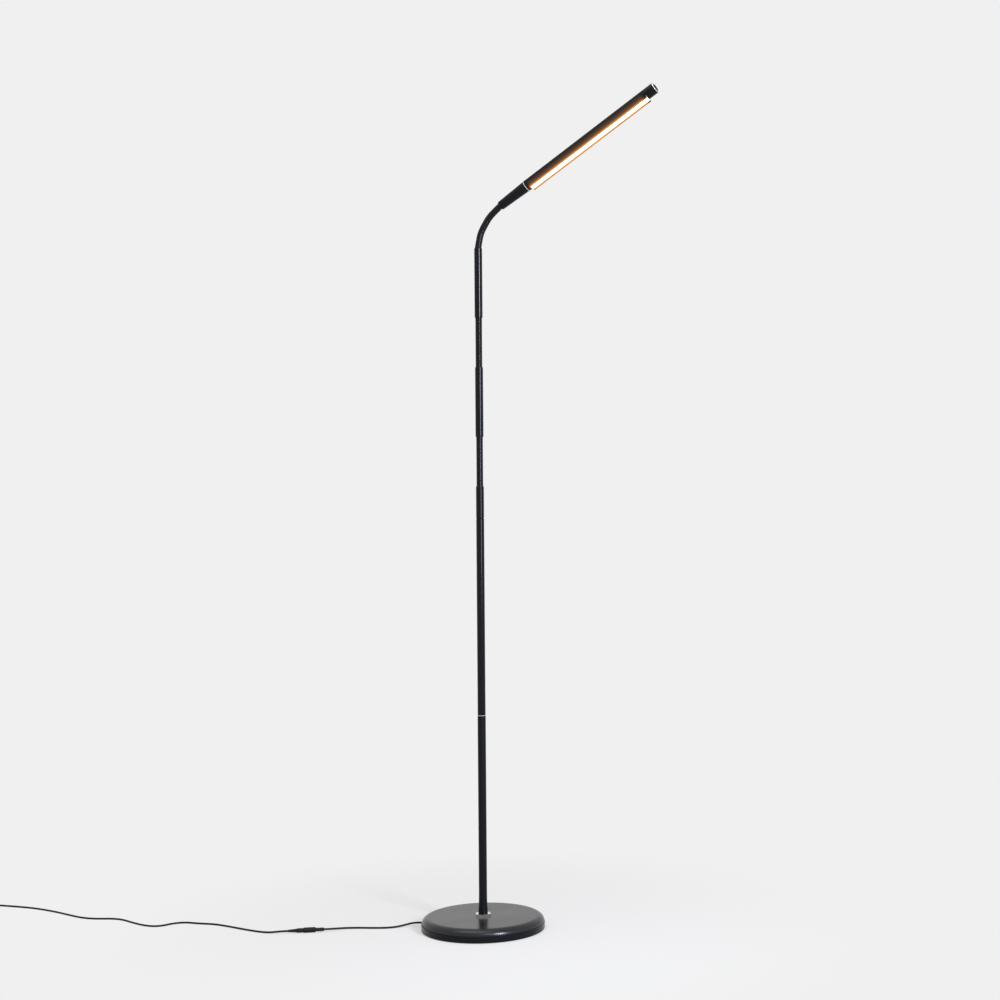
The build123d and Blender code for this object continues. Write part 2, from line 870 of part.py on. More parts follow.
board_face = Plane(
    origin=shell_place.from_local_coords(
        (board_top + board_thickness, 0, board_start + board_length / 2)
    ),
    x_dir=shell_place.z_dir,
    z_dir=shell_place.x_dir,
)

with BuildPart() as led_chips:
    with BuildSketch(board_face):
        with GridLocations(board_length / chips, 0, chips, 1):
            Rectangle(chip_length, chip_width)
    extrude(amount=chip_height)
led_chips.part.label = "led_chips"
export_step(led_chips.part, "parts/led_chips.step")

with BuildPart() as diffuser:
    with BuildSketch(shell_place.offset(collar_length + 2 * groove_clearance)):
        with Locations((diffuser_bottom, 0)):
            Rectangle(
                diffuser_thickness,
                2 * (groove_half_width - groove_clearance),
                align=(Align.MAX, Align.CENTER),
            )
    extrude(amount=channel_length - collar_length - 4 * groove_clearance)
diffuser.part.label = "diffuser"
export_step(diffuser.part, "parts/diffuser.step")

with BuildPart() as head_cap:
    with BuildSketch(cap_place):
        Circle(head_radius)
    extrude(amount=cap_length)
    with BuildSketch(cap_place.offset(cap_floor)):
        Circle(cap_bore)
    extrude(amount=cap_length, mode=Mode.SUBTRACT)
    with BuildSketch(cap_place):
        Circle(inner_radius - fit_clearance)
        with Locations((shelf_top - fit_clearance, 0)):
            Rectangle(head_radius, 2 * head_radius, align=downward, mode=Mode.SUBTRACT)
    extrude(amount=-tongue_length)
    with BuildSketch(cap_place.offset(-tongue_length)):
        with Locations((-lead_offset, 0)):
            Circle(lead_hole)
    extrude(amount=tongue_length + cap_floor, mode=Mode.SUBTRACT)
head_cap.part.label = "head_cap"
export_step(head_cap.part, "parts/head_cap.step")

with BuildPart() as switch_body:
    with BuildSketch(cap_place.offset(cap_floor)):
        Circle(cap_bore - 2 * fit_clearance)
    extrude(amount=switch_length)
    with BuildSketch(cap_place.offset(cap_floor + switch_length)):
        Circle(plunger_hole)
    extrude(amount=-plunger_hole_depth, mode=Mode.SUBTRACT)
switch_body.part.label = "switch_body"
export_step(switch_body.part, "parts/switch_body.step")

with BuildPart() as switch_bezel:
    with BuildSketch(bezel_place):
        Circle(bezel_radius)
    extrude(amount=bezel_thickness)
    fillet(switch_bezel.edges().sort_by(head_axis)[-1], radius=bezel_edge)
    with BuildSketch(bezel_place):
        Circle(cap_bore - fit_clearance)
    extrude(amount=-bezel_sleeve)
    with BuildSketch(bezel_place.offset(-bezel_sleeve)):
        Circle(button_radius + button_clearance)
    extrude(amount=bezel_sleeve + bezel_thickness, mode=Mode.SUBTRACT)
switch_bezel.part.label = "switch_bezel"
export_step(switch_bezel.part, "parts/switch_bezel.step")

button_face = bezel_place.offset(bezel_thickness + button_proud)

with BuildPart() as push_button:
    with BuildSketch(button_face):
        Circle(button_radius)
    extrude(amount=-button_thickness)
    fillet(push_button.edges().sort_by(head_axis)[-1], radius=button_edge)
    with BuildSketch(button_face.offset(-button_thickness)):
        Circle(plunger_radius)
    extrude(amount=-plunger_length)
push_button.part.label = "push_button"
export_step(push_button.part, "parts/push_button.step")

# ---- wiring ----
lead_corners = [
    cord_exit,
    (0, 0, lead_height),
    *(place.origin for place, kink in zip(curved_places, kinks) if kink > 0),
    head_place.from_local_coords((0, 0, 22.0)),
    ring_place.from_local_coords((-lead_offset, 0, -12.0)),
    cap_place.from_local_coords((-lead_offset, 0, cap_floor)),
]
lead_bends = [lead_bend, *bend_radii(lead_corners)[1:]]

with BuildLine() as lead_course:
    FilletPolyline(*lead_corners, radius=lead_bends)
inner_lead = tube(lead_course.wire(), lead_radius)
inner_lead.label = "inner_lead"
export_step(inner_lead, "parts/inner_lead.step")

base_cord = cord_tube(base_cord_route, cord_radius)
base_cord.label = "base_cord"
export_step(base_cord, "parts/base_cord.step")

supply_cord = cord_tube(supply_cord_route, cord_radius)
supply_cord.label = "supply_cord"
export_step(supply_cord, "parts/supply_cord.step")

adapter_cord = cord_tube(adapter_cord_route, cord_radius)
adapter_cord.label = "adapter_cord"
export_step(adapter_cord, "parts/adapter_cord.step")

# ---- coil: it spirals in on the floor and out again on top, climbing where it turns back ----


def coil_station(quarter):
    """Where the cord is after this many quarter turns of its coil, and the way it runs there."""
    from_middle = quarter - coil_quarters / 2
    radius = coil_inner_radius + coil_spacing * abs(from_middle) / 4
    widening = coil_spacing / (2 * pi) * ((from_middle > 0) - (from_middle < 0))
    height = coil_low + coil_spacing * ((from_middle > 0) + (from_middle >= 0)) / 2
    climbing = 2 * coil_spacing / pi if from_middle == 0 else 0
    turned = pi + pi / 2 * quarter
    outwards = Vector(cos(turned), sin(turned), 0)
    onwards = Vector(-sin(turned), cos(turned), 0)
    place = Vector(*coil_centre, height) + outwards * radius
    return place, (onwards * radius + outwards * widening + Vector(0, 0, climbing)).normalized()


coil_stations = [coil_station(quarter) for quarter in range(coil_quarters + 1)]

with BuildLine() as coil_course:
    Line(coil_start, coil_stations[0][0])
    for (start, leaving), (end, arriving) in zip(coil_stations, coil_stations[1:]):
        meeting = biarc(start, leaving, end, arriving)
        arc = TangentArc(start, meeting, tangent=leaving)
        TangentArc(meeting, end, tangent=arc % 1)
    Line(coil_stations[-1][0], coil_end)

coil_wire = coil_course.wire()
samples = 600
coil_points = [coil_wire @ (i / samples) for i in range(samples + 1)]
nearby = samples // coil_quarters
coil_gap = min(
    dist(coil_points[i], coil_points[j]) - 2 * cord_radius
    for i in range(samples + 1)
    for j in range(i + nearby, samples + 1)
)
print("least gap of the coil to itself", round(coil_gap, 2))

cord_coil = tube(coil_wire, cord_radius)
cord_coil.label = "cord_coil"
export_step(cord_coil, "parts/cord_coil.step")

tie_inner_width = coil_outer_radius - coil_inner_radius + 2 * (cord_radius + tie_slack)
tie_inner_height = coil_spacing + 2 * (cord_radius + tie_slack)
tie_place = Plane(
    origin=(
        coil_centre[0] - tie_width / 2,
        coil_centre[1] - (coil_inner_radius + coil_outer_radius) / 2,
        (coil_low + coil_high) / 2,
    ),
    x_dir=(0, 1, 0),
    z_dir=(1, 0, 0),
)

with BuildPart() as coil_tie:
    with BuildSketch(tie_place):
        RectangleRounded(
            tie_inner_width + 2 * tie_thickness,
            tie_inner_height + 2 * tie_thickness,
            cord_radius + tie_thickness,
        )
        RectangleRounded(tie_inner_width, tie_inner_height, cord_radius, mode=Mode.SUBTRACT)
    extrude(amount=tie_width)
coil_tie.part.label = "coil_tie"
export_step(coil_tie.part, "parts/coil_tie.step")

# ---- plug and socket ----
plug_length = joint_size - socket_relief_length - socket_body_length
connector_place = Plane(
    origin=(*socket_start, socket_radius),
    x_dir=(0, 0, 1),
    z_dir=Vector(*plug_end, socket_radius) - Vector(*socket_start, socket_radius),
)
connector_axis = Axis(connector_place.origin, connector_place.z_dir)
socket_end = socket_relief_length + socket_body_length
plug_tail = socket_end + plug_body_length
ridge = socket_relief_length / (2 * relief_ridges)
ridged = []
for i in range(relief_ridges):
    ridged += [
        (socket_relief_radius - 0.7, 2 * i * ridge),
        (socket_relief_radius - 0.7, (2 * i + 1) * ridge),
        (socket_relief_radius, (2 * i + 1) * ridge),
        (socket_relief_radius, (2 * i + 2) * ridge),
    ]

with BuildPart() as dc_socket:
    with BuildSketch(lengthwise(connector_place)):
        with BuildLine():
            Polyline(
                (0, 0),
                *ridged,
                (socket_radius - 0.8, socket_relief_length),
                (socket_radius, socket_relief_length + 1.5),
                (socket_radius, socket_end - 0.5),
                (socket_radius - 0.5, socket_end),
                (barrel_radius + jack_clearance, socket_end),
                (barrel_radius + jack_clearance, socket_end - barrel_length - 0.5),
                (contact_radius, socket_end - barrel_length - 0.5),
                (contact_radius, socket_end - 1.0),
                (0, socket_end - 1.0),
                close=True,
            )
        make_face()
    revolve(axis=connector_axis)
dc_socket.part.label = "dc_socket"
export_step(dc_socket.part, "parts/dc_socket.step")

with BuildPart() as dc_plug:
    with BuildSketch(lengthwise(connector_place)):
        with BuildLine():
            Polyline(
                (barrel_bore, socket_end - barrel_length),
                (barrel_radius, socket_end - barrel_length),
                (barrel_radius, socket_end + jack_clearance),
                (plug_radius - 0.5, socket_end + jack_clearance),
                (plug_radius, socket_end + 0.6),
                (plug_radius, plug_tail - 1.0),
                (plug_radius - 0.7, plug_tail),
                (cord_radius + 0.4, socket_end + plug_length),
                (0, socket_end + plug_length),
                (0, socket_end),
                (barrel_bore, socket_end),
                close=True,
            )
        make_face()
    revolve(axis=connector_axis)
dc_plug.part.label = "dc_plug"
export_step(dc_plug.part, "parts/dc_plug.step")

# ---- wall adapter ----
adapter_back = Plane(
    origin=(adapter_centre[0], adapter_centre[1] + adapter_length / 2, adapter_outlet),
    x_dir=(1, 0, 0),
    z_dir=(0, 1, 0),
)
adapter_front = Plane(
    origin=(adapter_centre[0], adapter_centre[1] - adapter_length / 2, adapter_height / 2),
    x_dir=(1, 0, 0),
    z_dir=(0, -1, 0),
)

with BuildPart() as adapter_body:
    with BuildSketch(upright(0)):
        with Locations(adapter_centre):
            Rectangle(adapter_width, adapter_length)
    extrude(amount=adapter_height)
    fillet(adapter_body.edges(), radius=adapter_edge)
adapter_body.part.label = "adapter_body"
export_step(adapter_body.part, "parts/adapter_body.step")

with BuildPart() as adapter_relief:
    with BuildSketch(adapter_back):
        Circle(adapter_relief_radius)
    with BuildSketch(adapter_back.offset(adapter_relief_length)):
        Circle(cord_radius + 0.5)
    loft()
adapter_relief.part.label = "adapter_relief"
export_step(adapter_relief.part, "parts/adapter_relief.step")

with BuildPart() as adapter_pins:
    with BuildSketch(adapter_front):
        with GridLocations(pin_spacing, 0, 2, 1):
            Rectangle(pin_thickness, pin_width)
    extrude(amount=pin_length)
adapter_pins.part.label = "adapter_pins"
export_step(adapter_pins.part, "parts/adapter_pins.step")
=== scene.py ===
"""A slim gooseneck reading floor lamp: its camera, its cords and wiring, its finishes and its lights.

Lengths are in metres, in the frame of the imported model: +Z runs up the pole, and the floor is at z = 0.
"""

import json
import math

import bpy
import numpy as np
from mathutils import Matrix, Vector

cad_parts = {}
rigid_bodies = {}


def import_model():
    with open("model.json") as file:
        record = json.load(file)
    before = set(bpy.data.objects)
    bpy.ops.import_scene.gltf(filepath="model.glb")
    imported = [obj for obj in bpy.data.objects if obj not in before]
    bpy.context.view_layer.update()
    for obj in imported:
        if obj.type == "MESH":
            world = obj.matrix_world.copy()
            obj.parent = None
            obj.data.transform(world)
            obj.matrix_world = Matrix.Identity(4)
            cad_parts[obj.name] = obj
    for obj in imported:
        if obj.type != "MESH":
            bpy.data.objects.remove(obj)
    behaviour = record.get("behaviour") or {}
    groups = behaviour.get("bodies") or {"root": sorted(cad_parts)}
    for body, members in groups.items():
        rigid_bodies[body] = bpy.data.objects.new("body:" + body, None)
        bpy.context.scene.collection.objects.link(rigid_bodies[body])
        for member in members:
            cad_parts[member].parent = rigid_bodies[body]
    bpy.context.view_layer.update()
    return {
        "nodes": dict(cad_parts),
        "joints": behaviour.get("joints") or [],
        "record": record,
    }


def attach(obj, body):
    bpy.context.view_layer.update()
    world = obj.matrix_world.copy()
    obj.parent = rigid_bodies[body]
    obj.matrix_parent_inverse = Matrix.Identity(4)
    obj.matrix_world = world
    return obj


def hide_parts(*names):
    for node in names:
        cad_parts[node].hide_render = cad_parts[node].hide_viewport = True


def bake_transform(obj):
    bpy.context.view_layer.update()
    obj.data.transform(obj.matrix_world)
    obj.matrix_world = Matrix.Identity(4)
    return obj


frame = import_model()
nodes = frame["nodes"]
scene = bpy.context.scene

# ---- camera: level, at the photograph's place and framing ----
image_width = 1000
focal_pixels = 1730.37
axis_pixel = 650.52  # where the camera's axis meets the picture, which was cropped off centre
sensor_width = 36.0
camera_place = (0.30445, -3.08978, 0.76263)
camera_roll = math.radians(0.435)

camera_data = bpy.data.cameras.new("camera")
camera_data.sensor_width = sensor_width
camera_data.lens = focal_pixels * sensor_width / image_width
camera_data.shift_x = 0.5 - axis_pixel / image_width
camera = bpy.data.objects.new("camera", camera_data)
camera.location = camera_place
camera.rotation_euler = (math.radians(90), camera_roll, 0)
scene.collection.objects.link(camera)
scene.camera = camera

# ---- cords ----
cord_diameter = 0.0035
coil_centre = (-0.975, 0.172)
coil_inner_radius = 0.0133
coil_outer_radius = 0.0253
coil_low = 0.003
coil_high = 0.007
coil_turns = 6
points_in_turn = 16

base_route = [
    (-0.111609, 0.017677, 0.0068),
    (-0.123955, 0.019632, 0.0068),
    (-0.138, 0.017, 0.0044),
    (-0.152, 0.009, 0.0023),
    (-0.170, 0.0026, 0.00175),
    (-0.196, 0.002, 0.00175),
    (-0.222, 0.0044, 0.00175),
    (-0.246, 0.003, 0.002),
    (-0.266031, -0.01358, 0.0047),
    (-0.2808, -0.0162, 0.0047),
]
supply_route = [
    (-0.3428, -0.0272, 0.0047),
    (-0.356092, -0.029558, 0.0047),
    (-0.376, -0.028, 0.0024),
    (-0.398, -0.0185, 0.00175),
    (-0.433, 0.003, 0.00175),
    (-0.463, 0.0235, 0.00175),
    (-0.491, 0.0395, 0.00175),
    (-0.520, 0.0445, 0.00175),
    (-0.547, 0.0545, 0.00175),
    (-0.567, 0.0465, 0.00175),
    (-0.580, 0.0315, 0.00175),
    (-0.5945, 0.0255, 0.00175),
    (-0.616, 0.0335, 0.00175),
    (-0.642, 0.054, 0.00175),
    (-0.666, 0.077, 0.00175),
    (-0.689, 0.087, 0.00175),
    (-0.719, 0.0855, 0.00175),
    (-0.747, 0.094, 0.00175),
    (-0.775, 0.114, 0.00175),
    (-0.816, 0.1455, 0.00175),
    (-0.866, 0.175, 0.00175),
    (-0.912, 0.1905, 0.00175),
    (-0.946, 0.200, 0.0018),
    (-0.974, 0.2075, 0.0024),
    (-0.9915, 0.203, 0.0028),
    (-1.000703, 0.188, 0.003),
    (-1.000388, 0.1755, 0.003),
]
adapter_route = [
    (-1.000388, 0.1685, 0.007),
    (-1.000703, 0.156, 0.007),
    (-0.9985, 0.142, 0.0036),
    (-0.991, 0.126, 0.0019),
    (-0.984, 0.1115, 0.0042),
    (-0.980, 0.0995, 0.0075),
    (-0.980, 0.088, 0.0075),
]


def coil_route():
    """Points of the coil: the radius shrinks at a steady rate to the middle turn and grows again.

    The cord lies on the floor on its way in and on top of those turns on its way out. The points
    stand outside the line by one over the cosine of half a step, as much as the spline cuts in.
    """
    turn = np.linspace(0, coil_turns, coil_turns * points_in_turn + 1)
    from_middle = turn - coil_turns / 2
    spread = np.abs(from_middle) / (coil_turns / 2)
    radius = coil_inner_radius + (coil_outer_radius - coil_inner_radius) * spread
    radius = radius / math.cos(math.pi / points_in_turn)
    angle = math.pi + 2 * math.pi * turn
    climbed = np.clip(2 * from_middle + 0.5, 0, 1)
    height = coil_low + (coil_high - coil_low) * climbed
    x = coil_centre[0] + radius * np.cos(angle)
    y = coil_centre[1] + radius * np.sin(angle)
    return np.stack([x, y, height], axis=1).tolist()


def cord_piece(name, route):
    """A smooth round cord with the route's points as its control points."""
    data = bpy.data.curves.new(name, "CURVE")
    data.dimensions = "3D"
    data.bevel_depth = 1.0  # times each point's own radius, which counts towards the piece's bounds
    data.bevel_resolution = 5
    data.resolution_u = 8
    data.use_fill_caps = True
    spline = data.splines.new("NURBS")
    spline.points.add(len(route) - 1)
    spline.points.foreach_set("co", [value for point in route for value in (*point, 1.0)])
    spline.points.foreach_set("radius", [cord_diameter / 2] * len(route))
    spline.order_u = 3
    spline.use_endpoint_u = True
    piece = bpy.data.objects.new(name, data)
    scene.collection.objects.link(piece)
    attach(piece, "base")
    return piece


socket_lead = cord_piece("socket_lead", base_route)
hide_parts("base_cord")

supply_lead = cord_piece("supply_lead", supply_route + coil_route() + adapter_route)
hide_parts("supply_cord", "cord_coil", "adapter_cord")


# ---- head: its own directions, and where its shell starts ----
head_down = (0.45395, -0.29491, -0.84081)
head_across = (0.40033, 0.91054, -0.10324)
head_along = (0.79603, -0.28973, 0.53140)
shell_start = (0.090127, -0.032804, 1.319294)  # where the shell meets the bright ring, on its axis
shell_length = 0.2663
lip_depth = 0.011  # from the shell's axis down to the window's lips
glow_half_width = 0.0078  # from the window's middle line to where the diffuser's light is amber

# ---- wiring through the pole and the necks ----
lead_radius = 0.0014
lead_height = 0.0068  # of the run through the base, above the floor
lead_bend = 0.006  # from where the lead starts to turn to its corner, and on from there
lead_sides = 12
curve_steps = 8
least_turn = 1e-3  # a path that turns less, as a sine, counts as straight
spare_direction = (0.31, 0.83, 0.46)  # along none of the lamp's straight paths


def bent_path(start, corner, end, steps=curve_steps):
    """A quadratic curve: it leaves start towards corner and comes into end from corner."""
    t = np.linspace(0, 1, steps + 1)[:, None]
    start, corner, end = (np.array(point, float) for point in (start, corner, end))
    return (1 - t) ** 2 * start + 2 * t * (1 - t) * corner + t**2 * end


def tube_piece(name, path, radius, sides=lead_sides):
    """A closed tube: a circle across the path at each of its points, and a cap at each end.

    The radius is one number, or one for each point. All circles share one cross direction, square to
    the plane that the path lies in.
    """
    ahead = np.gradient(path, axis=0)
    ahead /= np.linalg.norm(ahead, axis=1)[:, None]
    across = np.cross(ahead[0], ahead[-1])
    if np.linalg.norm(across) < least_turn:
        across = np.cross(ahead[0], spare_direction)
    across /= np.linalg.norm(across)
    third = np.cross(ahead, across)
    angle = np.linspace(0, 2 * math.pi, sides, endpoint=False)[None, :, None]
    reach = np.broadcast_to(radius, len(path))[:, None, None]
    rings = path[:, None] + reach * (np.cos(angle) * across + np.sin(angle) * third[:, None])
    points = np.concatenate([rings.reshape(-1, 3), path[[0, -1]]])
    ring = np.arange(len(path) - 1)[:, None] * sides
    side = np.arange(sides)[None, :]
    following = (side + 1) % sides
    walls = np.stack([ring + side, ring + sides + side, ring + sides + following, ring + following], -1)
    first, last = len(points) - 2, len(points) - 1
    top = (len(path) - 1) * sides
    side, following = side[0], following[0]
    caps = [(first, a, b) for a, b in zip(side.tolist(), following.tolist())]
    caps += [(last, top + b, top + a) for a, b in zip(side.tolist(), following.tolist())]
    mesh = bpy.data.meshes.new(name)
    mesh.from_pydata(points.tolist(), [], [*walls.reshape(-1, 4).tolist(), *caps])
    smooth = [True] * (len(mesh.polygons) - 2 * sides) + [False] * 2 * sides
    mesh.polygons.foreach_set("use_smooth", smooth)
    mesh.update()
    piece = bpy.data.objects.new(name, mesh)
    scene.collection.objects.link(piece)
    return piece


hinges = [joint for joint in frame["joints"] if joint["type"] == "hinge"]
corners = [Vector(joint["pos_m"]) for joint in hinges]
middles = [(a + b) / 2 for a, b in zip(corners, corners[1:])]


def wiring():
    """The lead's pieces: one through the base and pole, and one over each neck joint."""
    foot = corners[0] - (middles[0] - corners[0])
    top = corners[-1] + (corners[-1] - middles[-1])
    exit_point = Vector(base_route[0])
    turn = Vector((0, 0, lead_height))
    inward = (turn - exit_point).normalized()
    bend = bent_path(turn - inward * lead_bend, turn, turn + Vector((0, 0, lead_bend)))
    path = np.concatenate([[exit_point], bend, [foot]])
    pieces = [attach(tube_piece("pole_lead", path, lead_radius), "base")]
    starts = [foot, *middles]
    ends = [*middles, top]
    for count, (joint, corner, start, end) in enumerate(zip(hinges, corners, starts, ends), 1):
        path = bent_path(start, corner, end)
        piece = tube_piece(f"neck_lead_{count}", path, lead_radius)
        pieces.append(
            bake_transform(piece)
        )
    return pieces


wires = wiring()
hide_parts("inner_lead")

# ---- ribbed necks: a tube over each joint, from the middle of one link to the middle of the next ----
rib_pitch = 0.00358
rib_mean_radius = 0.00593
rib_height = 0.00014  # from the mean radius out to a rib's crest, and in to a groove's bottom
end_gap = 0.00104  # from a neck's first or last joint to the tube that holds it
rings_in_rib = 10
neck_sides = 28
links = {joint["child"]: frame["record"]["behaviour"]["bodies"][joint["child"]] for joint in hinges}


def ribbed_path(start, corner, end):
    """The quadratic curve over a joint and its radii: a cosine wave with a crest at the joint.

    Links hold whole or half ribs on either side of their middle, so the waves of neighbours meet.
    """
    before, after = (corner - start).length, (end - corner).length
    steps = round((before + after) / rib_pitch * rings_in_rib)
    path = bent_path(start, corner, end, steps)
    covered = np.concatenate([[0], np.cumsum(np.linalg.norm(np.diff(path, axis=0), axis=1))])
    from_joint = covered / covered[-1] * (before + after) - before
    return path, rib_mean_radius + rib_height * np.cos(2 * math.pi * from_joint / rib_pitch)


def neck_pieces():
    """One ribbed piece over each joint, curved at the joint between the two bodies that the joint holds.
    """
    up = Vector((0, 0, 1))
    pieces = []
    for count, (joint, corner) in enumerate(zip(hinges, corners)):
        starts_neck = "link" not in joint["parent"]
        ends_neck = "link" not in joint["child"]
        if starts_neck:
            start = corner - up * end_gap
        else:
            start = middles[count - 1]
        if ends_neck:
            ahead = Vector(head_along) if joint["child"] == "head" else up
            end = corner + ahead * end_gap
        else:
            end = middles[count]
        path, radii = ribbed_path(start, corner, end)
        piece = tube_piece(f"ribbed_neck_{count + 1}", path, radii, neck_sides)
        if not ends_neck:
            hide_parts(*links[joint["child"]])
        pieces.append(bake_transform(piece))
    return pieces


necks = neck_pieces()


# ---- finishes ----
# A pattern's width is its real size in metres, from one spot or line to the next.
noise_low = 0.3  # hardly any of a noise pattern's values lie below this
noise_high = 0.7  # or above this


def srgb(code):
    """The linear colour of a hex value such as "#2A2C2F"."""
    value = np.array([int(code[place : place + 2], 16) for place in (1, 3, 5)]) / 255
    linear = np.where(value <= 0.04045, value / 12.92, ((value + 0.055) / 1.055) ** 2.4)
    return (*linear.tolist(), 1.0)


def add(tree, kind, settings=(), values=(), links=()):
    """One node: its settings by name, and its sockets' values and sources by name or number."""
    made = tree.nodes.new(kind)
    for name, setting in dict(settings).items():
        setattr(made, name, setting)
    for socket, value in dict(values).items():
        made.inputs[socket].default_value = value
    for socket, source in dict(links).items():
        tree.links.new(source, made.inputs[socket])
    return made


def started(name):
    """A new material's tree, empty, and the place on the piece in metres."""
    material = bpy.data.materials.new(name)
    material.use_nodes = True
    tree = material.node_tree
    tree.nodes.clear()
    return material, tree, add(tree, "ShaderNodeTexCoord").outputs["Object"]


def finished(tree, shader):
    """Ends a material's tree in its shader."""
    add(tree, "ShaderNodeOutputMaterial", links={"Surface": shader.outputs[0]})


def coating(name, deep, worn, roughness, grain, depth, specular):
    """A paint or powder coat: orange peel of the grain's width, and clouds where hands polished it."""
    cloud_width = 1 / 14
    polished = roughness - 0.03
    dull = roughness + 0.04
    material, tree, place = started(name)
    clouds = add(
        tree,
        "ShaderNodeTexNoise",
        values={"Scale": 1 / cloud_width, "Detail": 4.0},
        links={"Vector": place},
    )
    peel = add(
        tree,
        "ShaderNodeTexNoise",
        values={"Scale": 1 / grain, "Detail": 2.0},
        links={"Vector": place},
    )
    colour = add(
        tree,
        "ShaderNodeMix",
        {"data_type": "RGBA"},
        {6: srgb(deep), 7: srgb(worn)},
        {0: clouds.outputs[0]},
    )
    polish = add(
        tree,
        "ShaderNodeMapRange",
        values={"From Min": noise_low, "From Max": noise_high, "To Min": polished, "To Max": dull},
        links={"Value": clouds.outputs[0]},
    )
    bump = add(
        tree,
        "ShaderNodeBump",
        values={"Strength": 0.5, "Distance": depth},
        links={"Height": peel.outputs[0]},
    )
    shader = add(
        tree,
        "ShaderNodeBsdfPrincipled",
        values={"Specular IOR Level": specular},
        links={
            "Base Color": colour.outputs[2],
            "Roughness": polish.outputs[0],
            "Normal": bump.outputs[0],
        },
    )
    finished(tree, shader)
    return material


def bright_metal(name, deep, light, roughness, line, stretch):
    """A plated or turned metal: tool lines of the given width, drawn out along the stretch."""
    line_depth = 2e-5
    polished = roughness * 0.8
    dull = roughness * 1.3
    material, tree, place = started(name)
    drawn = add(tree, "ShaderNodeMapping", values={"Scale": stretch}, links={"Vector": place})
    lines = add(
        tree,
        "ShaderNodeTexNoise",
        values={"Scale": 1 / line, "Detail": 3.0},
        links={"Vector": drawn.outputs[0]},
    )
    colour = add(
        tree,
        "ShaderNodeMix",
        {"data_type": "RGBA"},
        {6: srgb(deep), 7: srgb(light)},
        {0: lines.outputs[0]},
    )
    polish = add(
        tree,
        "ShaderNodeMapRange",
        values={"From Min": noise_low, "From Max": noise_high, "To Min": polished, "To Max": dull},
        links={"Value": lines.outputs[0]},
    )
    bump = add(
        tree,
        "ShaderNodeBump",
        values={"Strength": 0.2, "Distance": line_depth},
        links={"Height": lines.outputs[0]},
    )
    shader = add(
        tree,
        "ShaderNodeBsdfPrincipled",
        values={"Metallic": 1.0},
        links={
            "Base Color": colour.outputs[2],
            "Roughness": polish.outputs[0],
            "Normal": bump.outputs[0],
        },
    )
    finished(tree, shader)
    return material


def matt_piece(name, deep, light, roughness, grain, depth):
    """A matt piece: moulded, foamed, extruded or cast, with the grain that its making leaves."""
    material, tree, place = started(name)
    texture = add(
        tree,
        "ShaderNodeTexNoise",
        values={"Scale": 1 / grain, "Detail": 5.0},
        links={"Vector": place},
    )
    dimples = add(tree, "ShaderNodeTexVoronoi", values={"Scale": 1 / grain}, links={"Vector": place})
    colour = add(
        tree,
        "ShaderNodeMix",
        {"data_type": "RGBA"},
        {6: srgb(deep), 7: srgb(light)},
        {0: texture.outputs[0]},
    )
    bump = add(
        tree,
        "ShaderNodeBump",
        values={"Strength": 0.6, "Distance": depth},
        links={"Height": dimples.outputs[0]},
    )
    shader = add(
        tree,
        "ShaderNodeBsdfPrincipled",
        values={"Roughness": roughness, "Specular IOR Level": 0.2},
        links={"Base Color": colour.outputs[2], "Normal": bump.outputs[0]},
    )
    finished(tree, shader)
    return material


def measured(tree, place, direction):
    """How far a place lies from the shell's start along a direction, in metres."""
    from_start = add(
        tree,
        "ShaderNodeVectorMath",
        {"operation": "SUBTRACT"},
        {1: shell_start},
        {0: place},
    )
    along = add(
        tree,
        "ShaderNodeVectorMath",
        {"operation": "DOT_PRODUCT"},
        {1: direction},
        {0: from_start.outputs[0]},
    )
    return along.outputs["Value"]


def opal_acrylic():
    """Opal acrylic over warm light diodes: white in the middle, amber where it runs under the lips."""
    white_half_width = glow_half_width * 0.55
    haze_width = 1 / 900
    haze_depth = 1e-5
    material, tree, place = started("opal_acrylic")
    across = measured(tree, place, head_across)
    distance = add(tree, "ShaderNodeMath", {"operation": "ABSOLUTE"}, links={0: across})
    edge = add(
        tree,
        "ShaderNodeMapRange",
        {"interpolation_type": "SMOOTHSTEP"},
        {"From Min": white_half_width, "From Max": glow_half_width},
        {"Value": distance.outputs[0]},
    )
    haze = add(
        tree,
        "ShaderNodeTexNoise",
        values={"Scale": 1 / haze_width, "Detail": 2.0},
        links={"Vector": place},
    )
    colour = add(
        tree,
        "ShaderNodeMix",
        {"data_type": "RGBA"},
        {6: srgb("#FFF6E4"), 7: srgb("#E39A3C")},
        {0: edge.outputs[0]},
    )
    bump = add(
        tree,
        "ShaderNodeBump",
        values={"Strength": 0.1, "Distance": haze_depth},
        links={"Height": haze.outputs[0]},
    )
    shader = add(
        tree,
        "ShaderNodeBsdfPrincipled",
        values={"Base Color": srgb("#F4F0E6"), "Roughness": 0.35, "Emission Strength": 3.0},
        links={"Emission Color": colour.outputs[2], "Normal": bump.outputs[0]},
    )
    finished(tree, shader)
    return material


